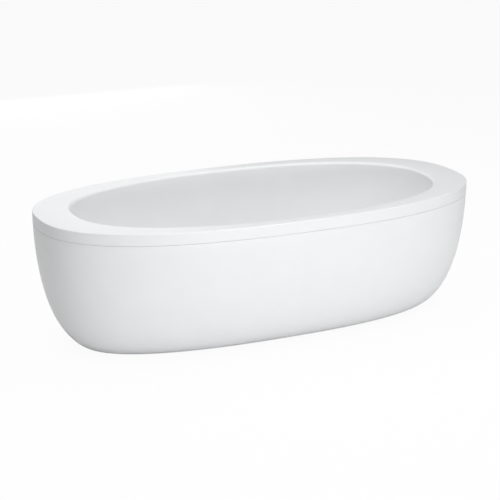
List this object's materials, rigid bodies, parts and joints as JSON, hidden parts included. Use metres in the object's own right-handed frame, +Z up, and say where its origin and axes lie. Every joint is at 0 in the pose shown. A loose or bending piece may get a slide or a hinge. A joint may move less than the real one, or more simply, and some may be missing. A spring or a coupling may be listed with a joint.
{
  "type": "freestanding bathtub",
  "caption": "Oval freestanding bathtub with a broad flat rim, one-piece apron that tucks under, pop-up waste worked by an overflow knob and levelling feet.",
  "frame": {"origin": "on the floor under the middle of the tub", "axes": "+X along the tub's length, +Z up, -Y the front long side, which carries the overflow"},
  "size_m": [2.03, 1.02, 0.6],
  "materials": {
    "acrylic": "gloss white sanitary acrylic",
    "glass_fibre": "rough sprayed glass fibre",
    "plywood": "raw",
    "painted_steel": "satin black powder coat",
    "zinc_steel": "zinc plated",
    "rubber": "matt",
    "foot_plastic": "moulded polyamide",
    "chrome": "polished",
    "brass": "turned",
    "fitting_plastic": "moulded white polypropylene",
    "hose_plastic": "grey flexible hose",
    "cable_plastic": "black cable sheath"
  },
  "bodies": {
    "tub": {"tub_shell": "acrylic", "shell_backing": "glass_fibre", "apron_panel": "acrylic", "front_rim_batten": "plywood", "rear_rim_batten": "plywood", "apron_clips": "zinc_steel", "base_board": "plywood", "left_cross_rail": "painted_steel", "right_cross_rail": "painted_steel", "board_screws": "zinc_steel", "foot_nuts": "zinc_steel", "foot_lock_nuts": "zinc_steel", "waste_flange": "chrome", "waste_seal": "rubber", "waste_body": "fitting_plastic", "trap_body": "fitting_plastic", "trap_inlet_nut": "fitting_plastic", "trap_outlet_nut": "fitting_plastic", "drain_pipe": "fitting_plastic", "overflow_body": "fitting_plastic", "overflow_seal": "rubber", "overflow_ring": "chrome", "overflow_screws": "chrome", "overflow_hose": "hose_plastic", "lift_cable": "cable_plastic", "hose_clamps": "zinc_steel"},
    "knob": {"overflow_knob": "chrome", "knob_spindle": "brass"},
    "plug": {"plug_cap": "chrome", "plug_seal": "rubber", "plug_stem": "brass"},
    "lever": {"lift_lever": "brass"},
    "front_left_foot": {"front_left_foot_pad": "foot_plastic"},
    "front_left_rod": {"front_left_levelling_rod": "zinc_steel"},
    "rear_left_foot": {"rear_left_foot_pad": "foot_plastic"},
    "rear_left_rod": {"rear_left_levelling_rod": "zinc_steel"},
    "front_right_foot": {"front_right_foot_pad": "foot_plastic"},
    "front_right_rod": {"front_right_levelling_rod": "zinc_steel"},
    "rear_right_foot": {"rear_right_foot_pad": "foot_plastic"},
    "rear_right_rod": {"rear_right_levelling_rod": "zinc_steel"}
  },
  "joints": [
    {"name": "knob_turn", "type": "hinge", "parent": "tub", "child": "knob", "pos_m": [0, -0.43082, 0.512], "axis": [0, 0.986, 0.1667], "range_deg": [0, 90]},
    {"name": "plug_lift", "type": "slide", "parent": "tub", "child": "plug", "axis": [0, 0, 1], "range_m": [0, 0.01072]},
    {"name": "lever_swing", "type": "hinge", "parent": "tub", "child": "lever", "pos_m": [0, 0.02, 0.1207], "axis": [-1, 0, 0], "range_deg": [0, 30.01]},
    {"name": "front_left_foot_level", "type": "slide", "parent": "tub", "child": "front_left_foot", "axis": [0, 0, -1], "range_m": [-0.005, 0.02]},
    {"name": "front_left_rod_turn", "type": "hinge", "parent": "front_left_foot", "child": "front_left_rod", "pos_m": [-0.4, -0.22, 0.1], "axis": [0, 0, -1], "range_deg": [-1030, 4115]},
    {"name": "rear_left_foot_level", "type": "slide", "parent": "tub", "child": "rear_left_foot", "axis": [0, 0, -1], "range_m": [-0.005, 0.02]},
    {"name": "rear_left_rod_turn", "type": "hinge", "parent": "rear_left_foot", "child": "rear_left_rod", "pos_m": [-0.4, 0.22, 0.1], "axis": [0, 0, -1], "range_deg": [-1030, 4115]},
    {"name": "front_right_foot_level", "type": "slide", "parent": "tub", "child": "front_right_foot", "axis": [0, 0, -1], "range_m": [-0.005, 0.02]},
    {"name": "front_right_rod_turn", "type": "hinge", "parent": "front_right_foot", "child": "front_right_rod", "pos_m": [0.4, -0.22, 0.1], "axis": [0, 0, -1], "range_deg": [-1030, 4115]},
    {"name": "rear_right_foot_level", "type": "slide", "parent": "tub", "child": "rear_right_foot", "axis": [0, 0, -1], "range_m": [-0.005, 0.02]},
    {"name": "rear_right_rod_turn", "type": "hinge", "parent": "rear_right_foot", "child": "rear_right_rod", "pos_m": [0.4, 0.22, 0.1], "axis": [0, 0, -1], "range_deg": [-1030, 4115]}
  ],
  "couplings": [
    {"joint": "plug_lift", "follows": "knob_turn", "m_per_rad": 0.0068233},
    {"joint": "lever_swing", "follows": "knob_turn", "ratio": 0.33333},
    {"joint": "front_left_rod_turn", "follows": "front_left_foot_level", "rad_per_m": 3590.4},
    {"joint": "rear_left_rod_turn", "follows": "rear_left_foot_level", "rad_per_m": 3590.4},
    {"joint": "front_right_rod_turn", "follows": "front_right_foot_level", "rad_per_m": 3590.4},
    {"joint": "rear_right_rod_turn", "follows": "rear_right_foot_level", "rad_per_m": 3590.4}
  ]
}
